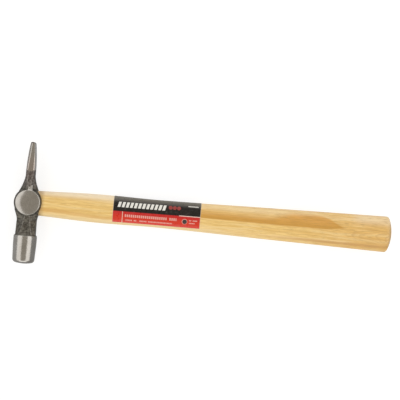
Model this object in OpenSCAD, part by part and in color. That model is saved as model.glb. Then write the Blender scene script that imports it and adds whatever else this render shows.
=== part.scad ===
// Light cross-pein hammer: a forged steel head wedged onto an oval ash handle.
// The hammer lies on its side. +Z points up through the two cheeks, +X runs
// along the handle to its butt and +Y points to the pein. The origin is the
// centre of the lower cheek, which rests on z = 0.

/* [Head] */
// Thickness of the head across its two ground cheeks
cheek_thickness = 18.6; // [18.4:0.2:20]
// Radius of the round eye section, seen square to a cheek
boss_r = 11.2; // [11:0.1:11.6]
// Radius of the ground disc on each cheek
cheek_r = 9.5; // [9.2:0.1:10.2]
// Distance from the eye's centre to the middle of the striking face
face_reach = 47; // [45:0.5:52]
// Distance from the eye's centre to the tip of the pein
pein_reach = 46.2; // [42:0.2:50]

/* [Striking block] */
// Diameter of the round striking block
block_dia = 17.9; // [17:0.1:18.3]
// Length of the striking block
block_length = 22.4; // [20:0.2:24]
// Radius of the crown on the striking face
crown_r = 28; // [26:1:60]

/* [Neck and pein] */
// Width of the octagonal neck across its flats
neck_width = 15.3; // [14.6:0.1:16]
// Radius of the hollow sides where the eye section flares into the pein
flare_r = 32; // [28:1:38]
// Thickness of the pein at its root
pein_thickness = 6.6; // [6.4:0.1:7.4]
// Radius of the ground bulge on each side of the pein
pein_side_r = 150; // [120:1:190]
// Width of the pein's edge, from cheek side to cheek side
pein_width = 12; // [11:0.2:13]

/* [Eye] */
// Height of the eye at its mouths, along the head
eye_height = 16; // [15:0.1:16.4]
// Width of the eye at its mouths, from cheek side to cheek side
eye_width = 10.6; // [10:0.1:11]
// How much narrower the eye is at its waist
eye_waist = 0.6; // [0.2:0.1:1]

/* [Handle] */
// Distance from the eye's centre to the end of the butt
handle_reach = 278.6; // [270:0.2:300]
// Height of the handle where it meets the head
shoulder_height = 18.6; // [18:0.1:19.4]
// Height of the handle at the swell in front of the label
swell_height = 21.8; // [20:0.1:23]
// Height of the handle at its waist
waist_height = 21; // [19:0.1:22]
// Height of the handle between the label and the butt
middle_height = 23.8; // [22:0.1:26]
// Height of the butt
butt_height = 27.5; // [26:0.1:29]
// Thickness of the handle where it meets the head
shoulder_thickness = 13.6; // [13:0.1:14.4]
// Thickness of the handle at its waist
waist_thickness = 14.9; // [14:0.1:16]
// Thickness of the butt, just under that of the head
butt_thickness = 18.4; // [17:0.1:18.4]
// Radius of the domed end of the butt
butt_dome_r = 30; // [26:1:40]
// Squareness of the handle's oval: 2 is an ellipse
oval_power = 2.4; // [2:0.1:3]

/* [Wedges] */
// Depth of the wooden wedge in the eye
wood_wedge_depth = 17.5; // [15:0.5:18]
// Thickness of the wooden wedge at its thick end
wood_wedge_thickness = 2.6; // [2:0.1:3]
// Depth of the steel wedge, driven across the wooden one
steel_wedge_depth = 13.5; // [10:0.5:14.5]
// Thickness of the steel wedge at its thick end
steel_wedge_thickness = 2; // [1.6:0.1:2.4]
// Width of the steel wedge
steel_wedge_width = 7; // [5:0.5:7.5]

/* [Label] */
// Distance from the eye's centre to the near edge of the printed label
label_start = 65.3; // [60:0.1:75]
// Length of the label along the handle
label_length = 66.8; // [50:0.1:80]
// Thickness of the label
label_thickness = 0.15; // [0.1:0.05:0.3]

/* [Hidden] */
$fn = 96;
mid_z = cheek_thickness / 2;
beyond = 60;

// Eye section: each cheek is flat in the middle and rolls off to its rim
cheek_flat_r = 3.5;
cheek_edge_slope = 22;
cheek_roll_r = (cheek_r - cheek_flat_r) / sin(cheek_edge_slope);
rim_drop = 2.6;

// Striking block: bevel at its top edge, slight taper and broken face edge
block_r = block_dia / 2;
block_top = block_length - face_reach;
block_bevel = [1.35, 1.6];
block_straight = 5.8;
block_taper = 0.55;
face_edge = [1.35, 2];

// Neck: octagonal, with front flats that widen towards the striking block
neck_half = neck_width / 2;
neck_root_y = -11;
neck_facet_at_root = 1.8;
neck_facet_at_block = 4.5;
neck_overlap = 0.5;
shoulder_lean = 21.5;
shoulder_half_z = 5;

// Flare and pein: octagonal too, with narrow front flats
facet_half = 1.6;
flare_top = 20;
flare_top_half_x = 3.55;
flare_foot_half_z = 7.3;
flare_top_half_z = pein_width / 2 + 0.5;
pein_base = 19.6;
pein_bulge_y = 23;
pein_base_half_z = pein_width / 2 + 0.4;
tip_facet_half = 1;
tip_break = 0.45;

// Handle: stations along X with its height and thickness there
swell_x = 52;
waist_x = 100;
middle_x = 175;
shank_start = 5;
heights = [
    [shank_start, shoulder_height],
    [swell_x, swell_height],
    [waist_x, waist_height],
    [middle_x, middle_height],
    [handle_reach, butt_height]
];
thicknesses = [
    [shank_start, shoulder_thickness],
    [waist_x, waist_thickness],
    [handle_reach, butt_thickness]
];
segments = 54;
label_segments = 21;
// The butt's rings, as fractions of its full size, from its edge to its end
dome_fractions = [0.97, 0.9, 0.77, 0.6, 0.4, 0.18];
dome_edge_roll = 1.2;

// Tenon: it fills the eye and ends just inside the head's far side
tenon_end = 10.5;
tenon_end_r = 12.4;
tenon_root = 12;
barb_count = 4;
barb_depth = 0.18;

// Point where two circles meet on the +X side: radius d0 about the origin and
// radius d1 about p
function circles_meet(d0, p, d1) =
    let (
        l = norm(p),
        t = (d0 * d0 - d1 * d1 + l * l) / (2 * l),
        h = sqrt(d0 * d0 - t * t)
    )
    p * t / l + [p.y, -p.x] * h / l;

// Smooth curve through the [x, value] knots of a table
function slope_at(table, i) =
    let (a = table[max(i - 1, 0)], b = table[min(i + 1, len(table) - 1)])
    (b.y - a.y) / (b.x - a.x);
function knot_below(table, x, i = 0) =
    i >= len(table) - 2 || table[i + 1].x > x ? i : knot_below(table, x, i + 1);
function smooth(table, x) =
    let (
        i = knot_below(table, x),
        p = table[i],
        q = table[i + 1],
        w = q.x - p.x,
        t = (x - p.x) / w,
        rise = t * t * (3 - 2 * t)
    )
    p.y * (1 - rise) + q.y * rise
    + w * slope_at(table, i) * t * (1 - t) * (1 - t)
    - w * slope_at(table, i + 1) * t * t * (1 - t);

// Point k of an oval at x, counted from the pein side up over the upper cheek
// side, on an oval of the given height and thickness
function oval_power_of(c) = sign(c) * pow(abs(c), 2 / oval_power);
function oval_point(x, k, height, thickness) = [
    x,
    height / 2 * oval_power_of(cos(360 * k / segments)),
    mid_z + thickness / 2 * oval_power_of(sin(360 * k / segments))
];

// Rings of the handle, from the head to the butt's edge. Some lie on the
// label's two edges.
label_end = label_start + label_length;
function dome_x(f) =
    handle_reach - butt_dome_r + sqrt(pow(butt_dome_r, 2) - pow(f * butt_height / 2, 2));
shank_end = dome_x(dome_fractions[0]) - dome_edge_roll;
label_rings = [for (i = [0:1:8]) label_start + label_length * i / 8];
shank_rings = [
    for (i = [0:1:7]) shank_start + (label_start - shank_start) * i / 8,
    each label_rings,
    for (i = [1:1:11]) label_end + (shank_end - label_end) * i / 11
];

// Triangles that join n points a ring, from the ring that starts at point a to
// the ring that starts at point b
function band(a, b, n) = [
    for (k = [0:1:n - 1])
        let (m = (k + 1) % n)
        each [[a + k, b + k, b + m], [a + k, b + m, a + m]]
];

// Cuts away everything beyond a plane, on the side its normal points to. The
// distance is measured from the middle of the eye.
module cut_beyond(normal, distance) {
    translate([0, 0, mid_z])
        rotate([0, acos(normal.z / norm(normal)), atan2(normal.y, normal.x)])
            translate([-beyond, -beyond, distance])
                cube([2 * beyond, 2 * beyond, beyond]);
}

// Cutters for the four long edges of a limb of the head. Its section is cut
// back to |x| + |z| = c, where c is c0 at y0 and changes with the given slope.
module edge_cutters(y0, c0, slope) {
    for (sx = [-1, 1], sz = [-1, 1])
        cut_beyond([sx, -slope, sz], (c0 - slope * y0) / sqrt(2 + slope * slope));
}

// Slab from y0 to y1 whose half-thickness goes from h0 to h1
module tapered_slab(y0, y1, h0, h1, half_x) {
    translate([-half_x, 0, mid_z])
        rotate([90, 0, 90])
            linear_extrude(2 * half_x)
                polygon([[y0, -h0], [y1, -h1], [y1, h1], [y0, h0]]);
}

// Upright cylinder through the whole thickness of the head
module through_cylinder(x, y, r) {
    translate([x, y, -1])
        cylinder(r = r, h = cheek_thickness + 2, $fn = 240);
}

module eye_section() {
    cheek = [
        for (a = [0:3:cheek_edge_slope])
            [cheek_flat_r + cheek_roll_r * sin(a), cheek_roll_r * (1 - cos(a))]
    ];
    lower = concat([[0, 0]], cheek, [[boss_r, rim_drop]]);
    last = len(lower) - 1;
    upper = [for (i = [last:-1:0]) [lower[i].x, cheek_thickness - lower[i].y]];
    rotate_extrude()
        polygon(concat(lower, upper));
}

module striking_block() {
    translate([0, 0, mid_z])
        rotate([90, 0, 0])
            intersection() {
                rotate_extrude()
                    polygon([
                        [0, -block_top],
                        [block_r - block_bevel.x, -block_top],
                        [block_r, block_bevel.y - block_top],
                        [block_r, block_bevel.y + block_straight - block_top],
                        [block_r - block_taper, face_reach - 0.8 - face_edge.y],
                        [block_r - block_taper - face_edge.x, face_reach - 0.8],
                        [0, face_reach + 1]
                    ]);
                translate([0, 0, face_reach - crown_r])
                    sphere(crown_r);
            }
}

module neck() {
    slope = (neck_facet_at_root - neck_facet_at_block) / (neck_root_y - block_top);
    difference() {
        translate([-neck_half, block_top - neck_overlap, mid_z - neck_half])
            cube([neck_width, 18, neck_width]);
        edge_cutters(neck_root_y, neck_half + neck_facet_at_root, slope);
    }
}

// Sloping shoulders that run the eye section into the neck
module shoulders() {
    touch = boss_r * [cos(shoulder_lean), -sin(shoulder_lean)];
    foot_y = touch.y - (touch.x - neck_half) / tan(shoulder_lean);
    translate([0, 0, mid_z - shoulder_half_z])
        linear_extrude(2 * shoulder_half_z)
            polygon([touch, [neck_half, foot_y], [-neck_half, foot_y], [-touch.x, touch.y]]);
}

module flare() {
    centre = circles_meet(boss_r + flare_r, [flare_top_half_x, pein_base], flare_r);
    foot_y = centre.y * boss_r / (boss_r + flare_r);
    slope = (flare_top_half_z - flare_foot_half_z) / (flare_top - foot_y);
    difference() {
        tapered_slab(foot_y, flare_top, flare_foot_half_z, flare_top_half_z, boss_r);
        through_cylinder(centre.x, centre.y, flare_r);
        through_cylinder(-centre.x, centre.y, flare_r);
        edge_cutters(foot_y, flare_foot_half_z + facet_half, slope);
    }
}

module pein() {
    half_x = pein_thickness / 2;
    length = pein_reach - pein_base;
    bulge_fall = pow(pein_reach - pein_bulge_y, 2) / (2 * pein_side_r);
    tip_corner = (pein_reach + half_x - bulge_fall - tip_break) / sqrt(2);
    slope = (pein_width / 2 + tip_facet_half - pein_base_half_z - facet_half) / length;
    difference() {
        intersection() {
            tapered_slab(pein_base, pein_reach, pein_base_half_z, pein_width / 2, pein_thickness);
            through_cylinder(half_x - pein_side_r, pein_bulge_y, pein_side_r);
            through_cylinder(pein_side_r - half_x, pein_bulge_y, pein_side_r);
        }
        edge_cutters(pein_base, pein_base_half_z + facet_half, slope);
        cut_beyond([1, 1, 0], tip_corner);
        cut_beyond([-1, 1, 0], tip_corner);
    }
}

module head_blank() {
    eye_section();
    striking_block();
    neck();
    shoulders();
    flare();
    pein();
}

// Half of the eye's space, from x = 0 to x = reach on the side s (-1 or 1). It
// is an oval that widens towards the mouth of the eye.
module eye_half(s, reach) {
    centre_y = (eye_height - eye_width) / 2;
    waist_half = (eye_width - eye_waist) / 2;
    reach_half = waist_half + eye_waist / 2 * reach / boss_r;
    for (side = [-1, 1])
        translate([0, side * centre_y, mid_z])
            rotate([0, s * 90, 0])
                cylinder(r1 = waist_half, r2 = reach_half, h = reach);
    translate([0, centre_y, mid_z])
        rotate([90, 0, 0])
            linear_extrude(2 * centre_y)
                polygon([
                    [0, -waist_half],
                    [s * reach, -reach_half],
                    [s * reach, reach_half],
                    [0, waist_half]
                ]);
}

module eye() {
    eye_half(-1, tenon_root);
    eye_half(1, tenon_root);
}

// The shaped end of the tenon and of both wedges, just inside the head
module within_head() {
    intersection() {
        children();
        translate([tenon_end_r - tenon_end, 0, -1])
            cylinder(r = tenon_end_r, h = cheek_thickness + 2);
    }
}

module shank() {
    n = segments;
    apex = n * (len(shank_rings) + len(dome_fractions));
    points = [
        for (x = shank_rings, k = [0:1:n - 1])
            oval_point(x, k, smooth(heights, x), smooth(thicknesses, x)),
        for (f = dome_fractions, k = [0:1:n - 1])
            oval_point(dome_x(f), k, f * butt_height, f * butt_thickness),
        [handle_reach, 0, mid_z]
    ];
    faces = [
        [for (k = [0:1:n - 1]) k],
        for (a = [0:n:apex - 2 * n]) each band(a, a + n, n),
        for (k = [0:1:n - 1]) [apex - n + k, apex, apex - n + (k + 1) % n]
    ];
    polyhedron(points, faces);
}

// Outline of the steel wedge in its thickness and its depth, with barbs
module barbed_wedge() {
    half = steel_wedge_thickness / 2;
    function edge(i) = half * (1 - 0.85 * i / barb_count);
    pitch = steel_wedge_depth / barb_count;
    side = [
        for (i = [0:1:barb_count - 1])
            each [[i * pitch, edge(i)], [(i + 1) * pitch, edge(i + 1) - barb_depth / 2]]
    ];
    translate([-tenon_end, 0, mid_z - steel_wedge_width / 2])
        linear_extrude(steel_wedge_width)
            polygon(concat(side, [for (i = [len(side) - 1:-1:0]) [side[i].x, -side[i].y]]));
}

module wood_wedge_blank() {
    thick = wood_wedge_thickness / 2;
    thin = thick * 0.25;
    tip_x = wood_wedge_depth - tenon_end;
    translate([0, eye_height, mid_z])
        rotate([90, 0, 0])
            linear_extrude(2 * eye_height)
                polygon([
                    [-tenon_end - 1, -thick],
                    [tip_x, -thin],
                    [tip_x, thin],
                    [-tenon_end - 1, thick]
                ]);
}

module head() {
    color([0.45, 0.44, 0.42])
        difference() {
            head_blank();
            eye();
        }
}

module handle() {
    color([0.9, 0.76, 0.52])
        difference() {
            union() {
                within_head()
                    eye();
                difference() {
                    shank();
                    head_blank();
                }
            }
            wood_wedge_blank();
            barbed_wedge();
        }
}

module wooden_wedge() {
    color([0.78, 0.6, 0.38])
        difference() {
            within_head()
                intersection() {
                    eye();
                    wood_wedge_blank();
                }
            barbed_wedge();
        }
}

module steel_wedge() {
    color([0.35, 0.35, 0.36])
        within_head()
            barbed_wedge();
}

// A band with an open back: it runs from below the front of the handle over
// the pein side to the same height on the back
module label() {
    n = 2 * label_segments + 1;
    loop = 2 * n;
    points = [
        for (x = label_rings)
            let (h = smooth(heights, x), t = smooth(thicknesses, x), g = 2 * label_thickness)
            each [
                for (k = [-label_segments:1:label_segments]) oval_point(x, k, h + g, t + g),
                for (k = [label_segments:-1:-label_segments]) oval_point(x, k, h, t)
            ]
    ];
    last = loop * (len(label_rings) - 1);
    faces = [
        for (a = [0:loop:last - loop]) each band(a, a + loop, loop),
        for (k = [0:1:n - 2])
            each [
                [k, k + 1, loop - 2 - k, loop - 1 - k],
                [last + loop - 1 - k, last + loop - 2 - k, last + k + 1, last + k]
            ]
    ];
    color([0.75, 0.2, 0.16])
        polyhedron(points, faces);
}

head();
handle();
wooden_wedge();
steel_wedge();
label();
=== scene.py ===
"""Looks of a light cross-pein hammer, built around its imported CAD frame.

Frame: metres, +Z up through the cheeks, +X along the handle to the butt, +Y to
the pein. The head's shape is written in millimetres about the middle of the eye.
"""

import math

import bmesh
import bpy
import numpy as np
import openvdb
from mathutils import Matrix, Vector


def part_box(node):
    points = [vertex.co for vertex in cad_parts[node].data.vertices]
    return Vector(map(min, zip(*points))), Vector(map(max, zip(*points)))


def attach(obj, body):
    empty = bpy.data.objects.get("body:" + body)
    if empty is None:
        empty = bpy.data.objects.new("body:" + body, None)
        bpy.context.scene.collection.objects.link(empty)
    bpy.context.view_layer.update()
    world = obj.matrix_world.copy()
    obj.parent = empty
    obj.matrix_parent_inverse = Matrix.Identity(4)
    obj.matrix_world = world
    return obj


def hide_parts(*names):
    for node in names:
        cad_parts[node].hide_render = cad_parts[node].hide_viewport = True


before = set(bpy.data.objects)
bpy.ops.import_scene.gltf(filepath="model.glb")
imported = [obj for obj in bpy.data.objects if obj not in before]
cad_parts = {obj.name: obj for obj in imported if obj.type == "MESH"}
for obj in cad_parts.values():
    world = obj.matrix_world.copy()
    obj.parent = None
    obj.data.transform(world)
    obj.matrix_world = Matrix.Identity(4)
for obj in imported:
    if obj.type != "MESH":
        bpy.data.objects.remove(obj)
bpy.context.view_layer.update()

MM = 0.001
ROOT = "root"

# ------------------------------------------------------------------ dimensions
head_low, head_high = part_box("head")
handle_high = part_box("handle")[1]
label_low, label_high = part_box("label")

MID_Z = (head_low.z + head_high.z) / 2 / MM
HALF_Z = (head_high.z - head_low.z) / 2 / MM
BOSS_R = (head_high.x - head_low.x) / 2 / MM
FACE_Y = head_low.y / MM
TIP_Y = head_high.y / MM

# Head, in millimetres about the middle of the eye
CHEEK_X = 0.45              # middle of the ground disc
DOME_X = 0.9                # middle of the cheek's dome
CHEEK_R = 9.45
CHEEK_FLAT_R = 3.9
CHEEK_ROLL_R = 16.0
CHEEK_LOW_Z = 7.4           # no part of the disc lies lower
RIM_DROP = 2.6
DRAFT = 0.06
DIE_SHIFT = 0.03            # drift of the round side in x, for each mm off mid-height
DIE_TWIST = 0.08            # lean of the neck's corner facets in x, for each mm of z

BLOCK_R = 8.95
BLOCK_TOP = FACE_Y + 22.4
BLOCK_TAPER = 0.55 / 13.0
TAPER_START = BLOCK_TOP - 7.4
BEVEL_WIDTH = 1.0
BEVEL_NORMAL = (0.76, 0.65)  # outwards, and towards the pein
CROWN_R = 28.0

NECK_HALF = 7.65
NECK_FACET = 9.45           # |x| + |z| on the corner facets, at NECK_FACET_Y
NECK_FACET_Y = -11
NECK_FACET_GROWTH = 0.1985
NECK_END_Y = -4

SHOULDER_LEAN = math.radians(21.5)
SHOULDER_HALF_Z = 5.6
SHOULDER_EDGE = (7.4, 6.0)
SHOULDER_SLOPE = 0.75
SHOULDER_Y = (-12.5, -1.5)

FLARE_R = 32.0
FLARE_CENTRE = (35.04, 25.26)
FLARE_FOOT = 6.4
FLARE_START = 5.2
FLARE_TOP = 20.4
FLARE_HALF_Z = 7.3
FLARE_THINNING = 0.8
FLARE_FACET = 1.6

PEIN_BASE = 20.4
PEIN_HALF_X = 3.3
PEIN_HALF_Z = 6.4
PEIN_THINNING = 0.4
PEIN_SIDE_R = 150.0
PEIN_BULGE_Y = 23.0
FACET_HALF = 2.35           # half the flat between the pein's facets
FACET_NARROWING = 1.25
FACET_SHIFT = 0.95          # how far the facets are off-centre at the tip
FACET_LEAN = math.radians(37)

NICK_X = (-0.3, 3.0)
NICK_Y = (9.6, 13.2)
NICK_TOP_Z = 8.12
NICK_FLOOR_Z = 5.0
NICK_SLOPE = math.radians(24)

# Where the grinding stops on the block, at the pein's foot and at its tip
GROUND_BLOCK = BLOCK_TOP - 0.9
GROUND_START = 23.6
GROUND_CURVE = 0.12
GROUND_TIP = TIP_Y - 0.9

WORN_NECK_TOP = -9.5
WORN_FLARE_FOOT = 10.5

EYE_CENTRE_Y = 2.7          # of the round ends, either side of the middle
EYE_WAIST = 5.0
EYE_MOUTH = 5.3

HEAD_VOXEL = 0.27
HEAD_INSET = 0.01           # keeps the surface inside the CAD box
SKIN_SINK = 0.03            # the forged skin lies this much lower

# Handle and label
HANDLE_POWER = 2.4          # of the oval section
HANDLE_POINTS = 112         # round each ring
READ_START = 14             # the CAD's rings are read from here
READ_STOP = 3.5             # to this far before the end
RING_SPREAD = 0.02
FULL_RING = 40              # points; cut-up rings have fewer
SHANK_START = 17
SHANK_STOP = 4.5            # before the end of the butt
SHANK_RINGS = 150
TENON_END = 10.5
TENON_END_R = 12.4
TENON_PLAY = 0.02
SHOULDER_X = 15.5           # the shoulder has this ring's outline, a little smaller
SHOULDER_SHARE = 0.985
SHOULDER_PLAY = 0.06
BUTT_DOME_R = 30.0
BUTT_EDGE_R = 1.6
WEDGE_PLAY = 0.05

LABEL_TURN = 0.008          # the label is wound a little askew
LABEL_HALF = 23.85
LABEL_SPLIT = 14.75         # where black meets red, from the pein side
SPLIT_OFF_TOP = 0.1         # how far that lies past the handle's top line
LABEL_GRID = (90, 110)
LABEL_LAYERS = (0.02, 0.13)  # height of its two faces over the wood
PRINT_SCALE = 100           # millimetres of print to one unit of its map
INK_EDGE = 0.05             # half the width of the ink's soft edge
CUT_EDGE = 0.18             # width of the pale rim

# Room and camera, in metres and radians
SOFTBOX_REACH = 1.2
CAMERA_HEIGHT = 1.2
VIEW_WIDTH = 0.306
CAMERA_TURN = math.radians(5.13)
CAMERA_OFFSET = (-0.0031, 0.01348)  # from the middle of the hammer


# ---------------------------------------------------------------- mesh helpers
def new_object(name, verts, faces, smooth=True):
    """A mesh object from points in metres."""
    mesh = bpy.data.meshes.new(name)
    mesh.from_pydata([tuple(v) for v in verts], [], [tuple(int(i) for i in f) for f in faces])
    mesh.validate()
    mesh.update()
    mesh.polygons.foreach_set("use_smooth", [smooth] * len(mesh.polygons))
    obj = bpy.data.objects.new(name, mesh)
    bpy.context.scene.collection.objects.link(obj)
    return obj


def capped_tube_faces(rings, n):
    """Quads between rings of n points each, and a cap on each end."""
    faces = []
    for r in range(rings - 1):
        for k in range(n):
            m = (k + 1) % n
            faces.append((r * n + k, r * n + m, (r + 1) * n + m, (r + 1) * n + k))
    faces.append(tuple(range(n - 1, -1, -1)))
    faces.append(tuple((rings - 1) * n + k for k in range(n)))
    return faces


def smoothstep(low, high, x):
    """Eases from 0 at low to 1 at high; low may be the larger of the two."""
    t = np.clip((x - low) / (high - low), 0, 1)
    return t * t * (3 - 2 * t)


def lattice_noise(x, y, z, cell, seed):
    """Smooth noise between -1 and 1, with one random value a cell."""
    rng = np.random.RandomState(seed)
    table = rng.uniform(-1, 1, (32, 32, 32))
    parts = []
    for c in (x, y, z):
        c = c / cell + 16
        base = np.floor(c).astype(int)
        t = c - base
        parts.append((base % 32, (base + 1) % 32, t * t * (3 - 2 * t)))
    total = 0
    for corner in range(8):
        picks, weight = [], 1
        for axis in range(3):
            low, high, t = parts[axis]
            upper = corner >> axis & 1
            picks.append(high if upper else low)
            weight = weight * (t if upper else 1 - t)
        total = total + weight * table[picks[0], picks[1], picks[2]]
    return total


# --------------------------------------------------- head, as a distance field
def soft_max(a, b, k):
    """The larger of two fields, with the crease between them rounded by k."""
    h = np.maximum(k - np.abs(a - b), 0) / k
    return np.maximum(a, b) + h * h * k / 4


def soft_min(a, b, k):
    return -soft_max(-a, -b, k)


def soft_all(*fields, k):
    out = fields[0]
    for f in fields[1:]:
        out = soft_max(out, f, k)
    return out


def cheek_drop(r):
    """How far the domed cheek has fallen at radius r."""
    out = np.clip(r - CHEEK_FLAT_R, 0, CHEEK_ROLL_R * 0.95)
    return CHEEK_ROLL_R - np.sqrt(CHEEK_ROLL_R ** 2 - out * out)


def cheek_field(x, y, az):
    """Ground cheek, whose dome sits a little off the middle of its disc."""
    steepness = 0.95
    return (az - HALF_Z + cheek_drop(np.hypot(x - DOME_X, y))) * steepness


def rim_field(x, y, az):
    """Forged slope from the edge of the ground disc down to the drafted side."""
    edge_drop = cheek_drop(np.array(CHEEK_R))
    rim_r = BOSS_R - DRAFT * HALF_Z
    lean = math.atan2(RIM_DROP - edge_drop, rim_r - CHEEK_R)
    out = np.hypot(x - CHEEK_X, y) - CHEEK_R
    return (az - HALF_Z + edge_drop) * math.cos(lean) + out * math.sin(lean)


def boss_field(x, y, z):
    """Round section: drafted side, chamfered rim and domed cheeks."""
    az = np.abs(z)
    side = np.hypot(x - DIE_SHIFT * az, y) - BOSS_R + DRAFT * az
    top = soft_max(cheek_field(x, y, az), rim_field(x, y, az), k=0.25)
    return soft_max(top, side, k=0.8)


def nick_field(x, y, z):
    """Small flat where the grinder ran off the upper cheek onto the flare."""
    fallen = (y - NICK_Y[0]) * math.sin(NICK_SLOPE)
    top = (z - NICK_TOP_Z) * math.cos(NICK_SLOPE) + fallen
    sides = np.maximum(NICK_X[0] - x, x - NICK_X[1])
    ends = np.maximum(NICK_Y[0] - 0.5 - y, y - NICK_Y[1])
    return soft_all(top, sides, ends, NICK_FLOOR_Z - z, k=0.15)


def block_field(x, y, z):
    """Round striking block: taper to the face, bevelled top, crowned face."""
    out = np.hypot(x, z) - BLOCK_R
    side = np.maximum(out, out + (TAPER_START - y) * BLOCK_TAPER)
    top = y - BLOCK_TOP
    bevel = (out + BEVEL_WIDTH) * BEVEL_NORMAL[0] + top * BEVEL_NORMAL[1]
    crown = np.hypot(np.hypot(x, z), y - FACE_Y - CROWN_R) - CROWN_R
    body = soft_all(side, top, bevel, k=0.35)
    return soft_max(body, crown, k=2.2)


def neck_sides(x, y, z):
    """The neck's four flats and its four corner facets, as two fields."""
    ax, az = np.abs(x), np.abs(z)
    reach = NECK_FACET + (NECK_FACET_Y - y) * NECK_FACET_GROWTH
    flats = soft_max(ax - NECK_HALF, az - NECK_HALF, k=0.5)
    return flats, (np.abs(x - DIE_TWIST * z) + az - reach) / math.sqrt(2)


def neck_field(x, y, z):
    ends = np.maximum(y - NECK_END_Y, BLOCK_TOP - 0.6 - y)
    return np.maximum(soft_max(*neck_sides(x, y, z), k=0.5), ends)


def shoulder_field(x, y, z):
    """Sloping shoulders that join the neck to the round section."""
    ax, az = np.abs(x), np.abs(z)
    line = ax * math.cos(SHOULDER_LEAN) - y * math.sin(SHOULDER_LEAN) - BOSS_R
    edge_x, edge_z = SHOULDER_EDGE
    slope = (az + SHOULDER_SLOPE * (ax - edge_x) - edge_z) * 0.8
    face = soft_max(az - SHOULDER_HALF_Z, slope, k=0.6)
    ends = np.maximum(y - SHOULDER_Y[1], SHOULDER_Y[0] - y)
    return soft_all(line, face, ends, k=0.8)


def flare_sides(x, y, z):
    """The flare's flats and hollow sides, and its four corner facets."""
    ax, az = np.abs(x), np.abs(z)
    side = FLARE_R - np.hypot(ax - FLARE_CENTRE[0], y - FLARE_CENTRE[1])
    run = np.clip((y - FLARE_FOOT) / (FLARE_TOP - FLARE_FOOT), -0.5, 1.2)
    half_z = FLARE_HALF_Z - FLARE_THINNING * run
    flats = soft_max(side, az - half_z, k=0.5)
    return flats, (ax + az - half_z - FLARE_FACET) / math.sqrt(2)


def flare_field(x, y, z):
    ends = np.maximum(y - FLARE_TOP, FLARE_START - y)
    return np.maximum(soft_max(*flare_sides(x, y, z), k=0.5), ends)


def pein_field(x, y, z):
    """Tapering pein: bulged sides, flat cheeks, facets that drift to one side."""
    ax, az = np.abs(x), np.abs(z)
    side = np.hypot(ax + PEIN_SIDE_R - PEIN_HALF_X, y - PEIN_BULGE_Y) - PEIN_SIDE_R
    run = np.clip((y - PEIN_BASE) / (TIP_Y - PEIN_BASE), -0.2, 1.1)
    front = az - (PEIN_HALF_Z - PEIN_THINNING * run)
    out = np.abs(x - FACET_SHIFT * run) - (FACET_HALF - FACET_NARROWING * run)
    facets = front * math.cos(FACET_LEAN) + out * math.sin(FACET_LEAN)
    body = soft_max(soft_max(side, front, k=0.3), facets, k=0.25)
    tip = y - TIP_Y
    return soft_max(np.maximum(body, PEIN_BASE - 1.4 - y), tip, k=1.0)


def head_outer(x, y, z):
    """Signed distance to the head without its eye, in millimetres."""
    out = soft_min(boss_field(x, y, z), neck_field(x, y, z), k=0.7)
    out = soft_min(out, shoulder_field(x, y, z), k=1.6)
    out = soft_min(out, flare_field(x, y, z), k=0.9)
    out = soft_min(out, pein_field(x, y, z), k=0.2)
    out = soft_min(out, nick_field(x, y, z), k=0.15)
    return soft_min(out, block_field(x, y, z), k=0.5)


def eye_half_width(x):
    return EYE_WAIST + (EYE_MOUTH - EYE_WAIST) * np.abs(x) / BOSS_R


def eye_field(x, y, z):
    reach = np.hypot(np.maximum(np.abs(y) - EYE_CENTRE_Y, 0), z)
    return reach - eye_half_width(x)


def head_field(x, y, z):
    return soft_max(head_outer(x, y, z), -eye_field(x, y, z), k=0.5)


def gradient(field, p, step=0.02):
    out = np.empty_like(p)
    for axis in range(3):
        shift = np.zeros(3)
        shift[axis] = step
        out[:, axis] = field(*(p + shift).T) - field(*(p - shift).T)
    return out / (2 * step)


def ground_mask(p):
    """1 where the steel is ground bright, 0 where the forged skin is left."""
    x, y, z = p.T
    az = np.abs(z)
    block = smoothstep(GROUND_BLOCK + 0.15, GROUND_BLOCK - 0.15, y)
    on_dome = smoothstep(-0.09, 0.09, cheek_field(x, y, az) - rim_field(x, y, az))
    disc = on_dome * (az > CHEEK_LOW_Z) * (np.hypot(x, y) < BOSS_R)
    pein = smoothstep(0, 0.4, y - GROUND_START - GROUND_CURVE * x * x)
    pein = pein * smoothstep(GROUND_TIP + 0.2, GROUND_TIP - 0.2, y)
    proud = flare_field(x, y, z) - nick_field(x, y, z)
    nick = smoothstep(0.02, 0.12, proud) * (np.abs(nick_field(x, y, z)) < 0.12)
    return np.clip(block + disc + pein + nick, 0, 1)


def crease(flats, corners):
    """1 where two fields meet, fading out within 0.4 mm."""
    return smoothstep(0.4, 0.1, np.abs(flats - corners))


def worn_mask(p):
    """1 along the creases of the forged skin, which handling rubs lighter."""
    x, y, z = p.T
    above = y - BLOCK_TOP
    neck = crease(*neck_sides(x, y, z)) * (y < WORN_NECK_TOP) * (above > 0.5)
    flare = crease(*flare_sides(x, y, z)) * (y > WORN_FLARE_FOOT) * (y < GROUND_START)
    foot = smoothstep(1.3, 0.9, above) * smoothstep(0.5, 0.8, above)
    return np.clip(neck + flare + foot, 0, 1)


def add_values(obj, name, values):
    """Stores one number a vertex for the material to read."""
    attribute = obj.data.attributes.new(name, "FLOAT", "POINT")
    attribute.data.foreach_set("value", values.astype(np.float32))


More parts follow.
